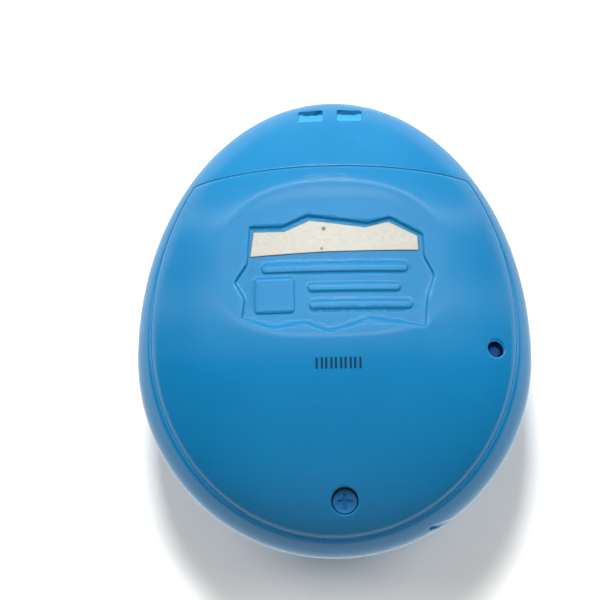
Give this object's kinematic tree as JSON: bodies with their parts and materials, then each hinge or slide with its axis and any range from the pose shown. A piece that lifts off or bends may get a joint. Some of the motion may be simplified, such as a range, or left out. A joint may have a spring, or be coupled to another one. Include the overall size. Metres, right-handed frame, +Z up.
{
  "type": "virtual pet keychain",
  "caption": "Egg-shaped handheld electronic toy with a square display, push buttons, a screwed battery cover and a strap bar at the top.",
  "frame": {"origin": "on the parting plane of the case, between the two cells of the battery bay, centred across the case and level with its widest part", "axes": "X across, +Y out of the battery cover, -Y out of the display, +Z up to the strap bar"},
  "size_m": [0.056, 0.0266, 0.0655],
  "materials": {
    "blue_plastic": "glossy blue ABS",
    "screw_steel": "plated steel",
    "retainer_black": "black nylon",
    "foil": "brushed foil",
    "bezel_white": "glossy white ABS",
    "lens_clear": "clear acrylic",
    "tape_black": "black foam tape",
    "lcd_glass": "display glass",
    "frame_white": "white moulding",
    "backlight_white": "light guide",
    "ribbon_amber": "flexible circuit",
    "board_green": "green solder mask",
    "chip_black": "moulded package",
    "crystal_can": "metal can",
    "ceramic_tan": "ceramic parts",
    "pad_rubber": "silicone rubber",
    "button_white": "glossy white ABS",
    "brass": "brass disc",
    "ceramic_white": "silvered ceramic",
    "tray_blue": "satin blue ABS",
    "cell_can": "wrapped steel can",
    "spring_steel": "nickel plate",
    "lead_red": "wire sleeve",
    "lead_black": "wire sleeve",
    "key_blue": "dark blue nylon"
  },
  "bodies": {
    "case": {"front_shell": "blue_plastic", "rear_case": "blue_plastic", "face_bezel": "bezel_white", "screen_lens": "lens_clear", "lens_tape": "tape_black", "lcd_panel": "lcd_glass", "lcd_frame": "frame_white", "backlight": "backlight_white", "lcd_ribbon": "ribbon_amber", "main_board": "board_green", "processor": "chip_black", "memory_chip": "chip_black", "crystal": "crystal_can", "small_parts": "ceramic_tan", "key_pad": "pad_rubber", "sounder_disc": "brass", "sounder_element": "ceramic_white", "battery_tray": "tray_blue", "battery_cell_upper": "cell_can", "battery_cell_lower": "cell_can", "spring_upper": "spring_steel", "spring_lower": "spring_steel", "contact_link": "spring_steel", "contact_positive": "spring_steel", "contact_negative": "spring_steel", "lead_red": "lead_red", "lead_black": "lead_black", "reset_switch": "chip_black", "case_screws": "screw_steel", "board_screws": "screw_steel"},
    "cover": {"battery_cover": "blue_plastic", "foil_label": "foil"},
    "cover_screw_set": {"cover_screw": "screw_steel", "screw_retainer": "retainer_black"},
    "reset_key_body": {"reset_key": "key_blue"},
    "left_button": {"button_left": "button_white"},
    "middle_button": {"button_middle": "button_white"},
    "right_button": {"button_right": "button_white"}
  },
  "joints": [
    {"name": "press_left_button", "type": "slide", "parent": "case", "child": "left_button", "axis": [0, 1, 0], "range_m": [0, 0.0006], "stiffness_N_per_m": 400, "deforming": ["key_pad"]},
    {"name": "press_middle_button", "type": "slide", "parent": "case", "child": "middle_button", "axis": [0, 1, 0], "range_m": [0, 0.0006], "stiffness_N_per_m": 400, "deforming": ["key_pad"]},
    {"name": "press_right_button", "type": "slide", "parent": "case", "child": "right_button", "axis": [0, 1, 0], "range_m": [0, 0.0006], "stiffness_N_per_m": 400, "deforming": ["key_pad"]},
    {"name": "press_reset_key", "type": "slide", "parent": "case", "child": "reset_key_body", "axis": [0, -1, 0], "range_m": [0, 0.00045]},
    {"name": "lift_battery_cover", "type": "slide", "parent": "case", "child": "cover", "axis": [0, 1, 0], "range_m": [0, 0.03]},
    {"name": "turn_cover_screw", "type": "hinge", "parent": "cover", "child": "cover_screw_set", "pos_m": [-0.0012, 0.006, -0.0209], "axis": [0, 1, 0], "continuous": true}
  ]
}
